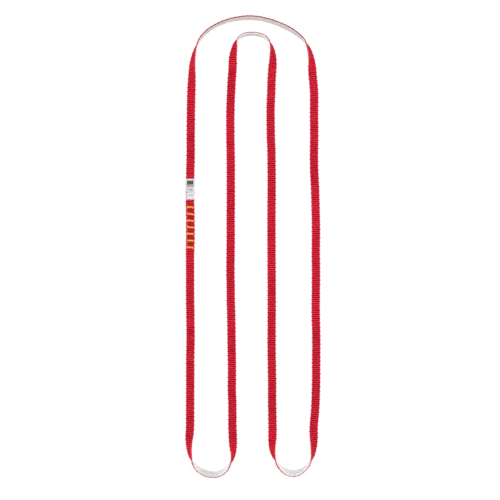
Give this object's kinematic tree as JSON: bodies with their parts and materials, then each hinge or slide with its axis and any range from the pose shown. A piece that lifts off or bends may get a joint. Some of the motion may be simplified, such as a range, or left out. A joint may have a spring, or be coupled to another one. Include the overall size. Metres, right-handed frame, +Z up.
{
  "type": "sewn sling",
  "caption": "Closed loop of narrow flat webbing laid out as a rounded M, its lapped ends held by bar tacks, with a clear label sleeve beside the stitching.",
  "frame": {"origin": "under the middle of the sling's outline, on the surface it lies on", "axes": "+X to the right across the four legs, +Y along the legs towards the two arches, +Z up from the surface"},
  "size_m": [0.1685, 0.5767, 0.01],
  "materials": {
    "red_webbing": "ribbed woven webbing, red on one face, pale grey on the other, red and pale selvedge",
    "yellow_thread": "satin sewing thread",
    "clear_film": "clear, slightly hazy film",
    "white_label": "white label stock, plain dark and grey blocks only"
  },
  "bodies": {
    "root": {"webbing": "red_webbing", "bar_tack_1": "yellow_thread", "bar_tack_2": "yellow_thread", "bar_tack_3": "yellow_thread", "bar_tack_4": "yellow_thread", "bar_tack_5": "yellow_thread", "bar_tack_6": "yellow_thread", "bar_tack_7": "yellow_thread", "carry_thread_1": "yellow_thread", "carry_thread_2": "yellow_thread", "carry_thread_3": "yellow_thread", "carry_thread_4": "yellow_thread", "carry_thread_5": "yellow_thread", "carry_thread_6": "yellow_thread", "label_sleeve": "clear_film", "label_slip": "white_label"}
  },
  "joints": []
}
